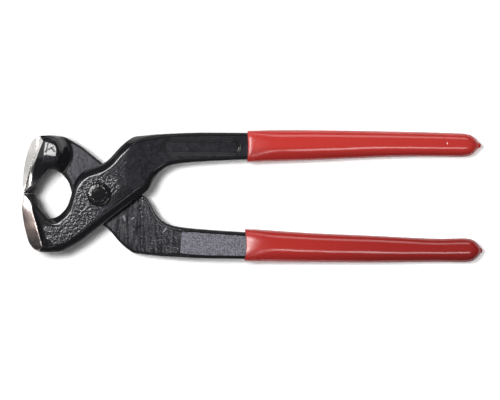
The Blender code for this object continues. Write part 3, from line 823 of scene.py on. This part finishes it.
def vinylMaterial():
    material, tree, shader = newMaterial("redVinyl")
    look = {
        "red": (0.60, 0.043, 0.036, 1),
        "deep": (0.50, 0.032, 0.028, 1),
        # the back sleeve is a darker copy of the same red, painted shade, and darker still towards the tail
        "back": (0.48, 0.032, 0.027, 1),
        "backShadedTail": (0.33, 0.020, 0.018, 1),
        # the darker red painted along one side of each sleeve, at the lip and at the tail: painted shade
        "thick": (0.33, 0.020, 0.018, 1),
        "shadedSideTail": (0.17, 0.012, 0.011, 1),
        "crease": {"x": 0.1646, "y": 0.0285, "lean": -0.25},
        # where the coat thins out towards the lip: start, reach, slope along, slope across, place across
        "lips": {"back": (0.0693, 0.009, 0.09, 0.096, -0.0234), "front": (0.0701, 0.004, 0.10, 0.03, 0.0245)},
    }
    place = addNode(tree, "TexCoord", -1400, 0).outputs["Object"]
    cloud = noiseOutput(tree, -900, 200, place, 45.0, 2.0)
    parts = addNode(tree, "SeparateXYZ", -1200, -600)
    tree.links.new(place, parts.inputs[0])
    front = rampNode(tree, -900, 400, parts.outputs["Y"], -0.005, 0.005)
    tail = rampNode(tree, -900, 600, parts.outputs["X"], 0.075, 0.165)
    backShadedTone = mixColour(tree, -850, 500, tail, look["back"], look["backShadedTail"])
    tone = mixColour(tree, -700, 300, front, backShadedTone, look["red"])
    cloudShare = mathNode(tree, "MULTIPLY", -700, 100, cloud, 0.4)
    cloudy = mixColour(tree, -500, 200, cloudShare, tone, look["deep"])
    # painted shade: one side of each sleeve, the same side on both, is painted darker, and darker still
    # towards the tail
    middleY = mixValue(tree, -850, 550, front, -0.0245, 0.0245)
    offCentre = mathNode(tree, "SUBTRACT", -700, 500, parts.outputs["Y"], middleY)
    shadedSide = rampNode(tree, -550, 500, offCentre, 0.0, -0.005)
    shadedSideTone = mixColour(tree, -550, 650, tail, look["thick"], look["shadedSideTail"])
    shadedRed = mixColour(tree, -400, 450, 0.75, cloudy, shadedSideTone)
    tree.links.new(mixColour(tree, -300, 300, shadedSide, cloudy, shadedRed), shader.inputs["Base Color"])
    smear = noiseOutput(tree, -900, -50, place, 220.0, 3.0)
    nearLip = rampNode(tree, -550, -150, parts.outputs["X"], 0.088, 0.072)
    satin = mathNode(tree, "MULTIPLY", -400, -150, nearLip, 0.16)
    gloss = mixValue(tree, -500, -50, smear, 0.08, 0.16)
    tree.links.new(mathNode(tree, "ADD", -250, -50, gloss, satin), shader.inputs["Roughness"])
    wave = stretchedNoise(tree, -1100, -300, place, (35, 90, 90), 1.0)
    # the crease where the front sleeve folded as it set
    crease = look["crease"]
    creaseY = mathNode(tree, "SUBTRACT", -1150, -750, parts.outputs["Y"], crease["y"])
    slant = mathNode(tree, "MULTIPLY", -1000, -700, creaseY, crease["lean"])
    creaseX = mathNode(tree, "ADD", -850, -700, slant, crease["x"])
    fromCrease = mathNode(tree, "SUBTRACT", -700, -650, parts.outputs["X"], creaseX)
    away = mathNode(tree, "ABSOLUTE", -550, -650, fromCrease)
    fold = rampNode(tree, -400, -650, away, 0.0006, 0.0)
    creaseSpan = rampNode(tree, -400, -850, mathNode(tree, "ABSOLUTE", -550, -850, creaseY), 0.0036, 0.0026)
    folded = mathNode(tree, "MULTIPLY", -250, -650, fold, creaseSpan)
    foldDepth = mathNode(tree, "MULTIPLY", -100, -650, folded, 0.36)
    height = mathNode(tree, "SUBTRACT", -250, -400, wave, foldDepth)
    bump = addNode(tree, "Bump", -100, -300, Strength=0.6, Distance=0.5 * mm)
    tree.links.new(height, bump.inputs["Height"])
    # the coat thins out towards the lip, more on one side of it
    thinned = []
    for row, (start, reach, along, across, middle) in enumerate(look["lips"].values()):
        y = -1000 - 250 * row
        fromLip = mathNode(tree, "SUBTRACT", -900, y, parts.outputs["X"], start)
        passed = mathNode(tree, "DIVIDE", -800, y, fromLip, reach)
        left = mathNode(tree, "SUBTRACT", -700, y, 1.0, passed)
        share = mathNode(tree, "MAXIMUM", -600, y, left, 0.0)
        squared = mathNode(tree, "POWER", -450, y, share, 2.0)
        down = mathNode(tree, "MULTIPLY", -300, y, squared, -along * reach / 2)
        offMiddle = mathNode(tree, "SUBTRACT", -600, y - 120, parts.outputs["Y"], middle)
        tipped = mathNode(tree, "MULTIPLY", -450, y - 120, offMiddle, -across)
        lean = mathNode(tree, "MULTIPLY", -300, y - 120, tipped, share)
        thinned.append(mathNode(tree, "ADD", -150, y, down, lean))
    thin = mixValue(tree, -50, -1050, front, *thinned)
    lipBump = addNode(tree, "Bump", 50, -500, Strength=1.0, Distance=1.0)
    tree.links.new(thin, lipBump.inputs["Height"])
    tree.links.new(bump.outputs["Normal"], lipBump.inputs["Normal"])
    tree.links.new(lipBump.outputs["Normal"], shader.inputs["Normal"])
    shader.inputs["IOR"].default_value = 1.53
    return material


redVinyl = vinylMaterial()
for kind in gripKinds:
    grip = gripPiece(kind)
    grip.data.materials.clear()
    grip.data.materials.append(redVinyl)
    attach(grip, kind["body"])
    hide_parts(kind["node"])
    print("grip:", kind["name"], len(grip.data.polygons), "faces")

# Floor, tilted to touch the rivet's foot and the ends of both grips, as the tool lies on a table

floorLook = {
    "size": 3.0, "tilt": math.radians(-1.43), "footX": 3.7 * mm, "tone": 0.97,
    "lift": (0.03, 0.55), "liftSpan": (-0.05, 0.22),  # glow at both ends of a span along the tool
}


def floorPiece():
    bpy.ops.object.select_all(action="DESELECT")
    bpy.ops.mesh.primitive_plane_add(size=floorLook["size"], location=(floorLook["footX"], 0, -0.02 * mm))
    floor = bpy.context.active_object
    floor.name = "paleFloor"
    floor.rotation_euler.y = floorLook["tilt"]
    material, tree, shader = newMaterial("paleTable")
    shader.inputs["Base Color"].default_value = (floorLook["tone"],) * 3 + (1,)
    shader.inputs["Roughness"].default_value = 0.75
    shader.inputs["Specular IOR Level"].default_value = 0.2
    path = addNode(tree, "LightPath", -600, -200)
    rays = (path.outputs["Is Camera Ray"], path.outputs["Is Glossy Ray"])
    seen = mathNode(tree, "MAXIMUM", -400, -200, *rays)
    shader.inputs["Emission Color"].default_value = (1, 1, 1, 1)
    parts = addNode(tree, "SeparateXYZ", -600, -450)
    tree.links.new(addNode(tree, "TexCoord", -800, -450).outputs["Object"], parts.inputs[0])
    along = rampNode(tree, -450, -450, parts.outputs["X"], *floorLook["liftSpan"])
    lift = mixValue(tree, -300, -450, along, *floorLook["lift"])
    tree.links.new(mathNode(tree, "MULTIPLY", -150, -200, seen, lift), shader.inputs["Emission Strength"])
    floor.data.materials.append(material)


floorPiece()

# Light: a soft lamp overhead to the left, long soft lamps on both sides of the handles and one beyond the jaws

tipAim = (-0.03, 0.01, 0.01)  # the jaws
# soft lamps light the surfaces, and shining ones are mirrored by them
lamps = [
    {"name": "keyLamp", "at": (-0.21, 0.12, 0.80), "aim": (-0.21, 0.12, 0),
     "size": (0.26, 0.14), "power": 3.6},
    {"name": "softLamp", "at": (-0.20, 0.10, 0.85), "aim": (0.02, 0, 0),
     "size": (0.30, 0.30), "power": 4.4, "shine": False},
    {"name": "facetLamp", "at": (-0.52, 0.22, 0.80), "aim": (-0.52, 0.22, 0),
     "size": (0.36, 0.24), "power": 0.50, "soft": False},
    {"name": "nearStrip", "at": (0.30, -0.23, 0.78), "aim": (0.30, 0, 0),
     "size": (0.36, 0.11), "power": 0.81, "soft": False},
    {"name": "farStrip", "at": (0.10, 0.65, 0.46), "aim": (0.1, 0, 0),
     "size": (0.75, 0.25), "power": 1.5, "soft": False},
    {"name": "jawLamp", "at": (-0.70, 0.43, 0.66), "aim": tipAim,
     "size": (0.44, 0.40), "power": 0.58, "soft": False},
    {"name": "lowCard", "at": (-0.90, 0.29, 0.22), "aim": tipAim,
     "size": (0.72, 0.50), "power": 1.35, "soft": False},
    {"name": "tipLamp", "at": (-0.80, 0.11, 0.66), "aim": tipAim,
     "size": (0.22, 0.40), "power": 0.40, "soft": False},
]


def placeLamps():
    for lamp in lamps:
        bpy.ops.object.light_add(type="AREA", location=lamp["at"])
        light = bpy.context.active_object
        light.name = lamp["name"]
        light.data.shape = "RECTANGLE"
        light.data.size, light.data.size_y = lamp["size"]
        light.data.energy = lamp["power"]
        light.visible_diffuse = lamp.get("soft", True)
        light.visible_glossy = lamp.get("shine", True)
        direction = Vector(lamp["aim"]) - Vector(lamp["at"])
        light.rotation_euler = direction.to_track_quat("-Z", "Y").to_euler()


def makeWorld():
    world = bpy.data.worlds.new("studio")
    bpy.context.scene.world = world
    world.use_nodes = True
    tree = world.node_tree
    background = tree.nodes["Background"]
    path = addNode(tree, "LightPath", -900, 200)
    direction = addNode(tree, "TexCoord", -1100, -100).outputs["Generated"]
    parts = addNode(tree, "SeparateXYZ", -900, -100)
    tree.links.new(direction, parts.inputs[0])
    high = rampNode(tree, -700, -100, parts.outputs["Z"], 0.3, 0.98)
    room = mixValue(tree, -500, -100, high, 0.05, 0.10)
    fill = mixValue(tree, -300, 0, path.outputs["Is Diffuse Ray"], room, 0.08)
    strength = mixValue(tree, -100, 0, path.outputs["Is Camera Ray"], fill, 1.0)
    tree.links.new(strength, background.inputs["Strength"])
    background.inputs["Color"].default_value = (1, 1, 1, 1)


placeLamps()
makeWorld()

# Camera, straight above the tool, as the photograph was taken

shot = {
    "centre": (71.75 * mm, -1.9 * mm), "height": 1.0, "turn": 0.6,
    "mmPerPixel": 0.4787, "imageWidth": 500, "sensor": 36.0,
}
cameraData = bpy.data.cameras.new("shotCamera")
camera = bpy.data.objects.new("shotCamera", cameraData)
bpy.context.scene.collection.objects.link(camera)
camera.location = (*shot["centre"], midHeight + shot["height"])
camera.rotation_euler.z = math.radians(shot["turn"])
cameraData.sensor_width = shot["sensor"]
cameraData.lens = shot["height"] / (shot["mmPerPixel"] * mm) * shot["sensor"] / shot["imageWidth"]
bpy.context.scene.camera = camera
bpy.context.scene.view_settings.view_transform = "Standard"
print("floor, lamps and camera set")
